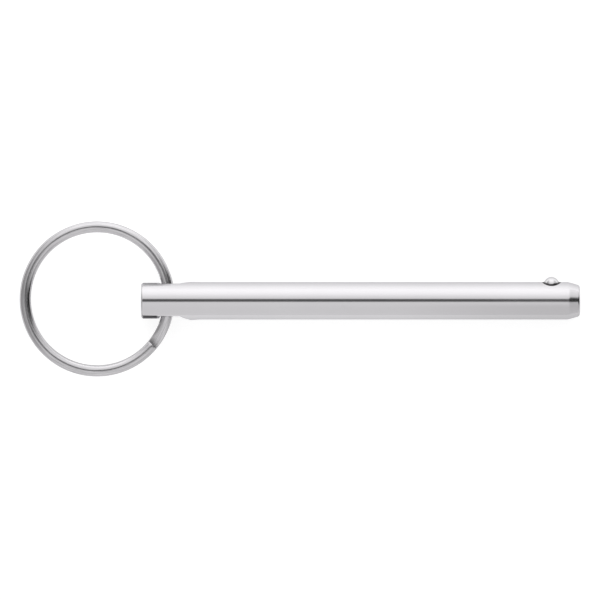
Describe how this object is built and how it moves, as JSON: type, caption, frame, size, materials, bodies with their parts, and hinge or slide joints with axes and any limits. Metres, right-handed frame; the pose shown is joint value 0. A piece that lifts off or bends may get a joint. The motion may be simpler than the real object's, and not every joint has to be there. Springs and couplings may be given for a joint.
{
  "type": "hitch pin lock",
  "caption": "Solid round hitch pin with a sprung locking ball near its bevelled tip and a split ring through its pressed and cross-drilled end.",
  "frame": {"origin": "centre of the flat ring-end face, on the shank's axis", "axes": "+X along the shank towards the bevelled tip; +Y the way the locking ball points; +Z square to both, up when the pin lies on its side. The ring hole and its flats are clocked 9 degrees from +Y towards -Z"},
  "size_m": [0.1419, 0.0389, 0.0096],
  "materials": {
    "shank_steel": "bright zinc plate over ground bar, fine lengthwise drawing marks",
    "ring_steel": "bright nickel plate, drawn wire with lengthwise streaks",
    "ball_steel": "polished bearing ball",
    "spring_wire": "drawn music wire"
  },
  "bodies": {
    "shank": {"pin_shank": "shank_steel", "detent_spring": "spring_wire"},
    "ring": {"split_ring": "ring_steel"},
    "ball": {"detent_ball": "ball_steel"}
  },
  "joints": [
    {"name": "ring_swing", "type": "hinge", "parent": "shank", "child": "ring", "pos_m": [0.00674, 0, 0], "axis": [0, 0.9877, -0.1564], "range_deg": [-167, 171]},
    {"name": "ball_press", "type": "slide", "parent": "shank", "child": "ball", "axis": [0, -1, 0], "range_m": [0, 0.0014], "stiffness_N_per_m": 3200, "springref_m": -0.0006, "deforming": ["detent_spring"]}
  ]
}
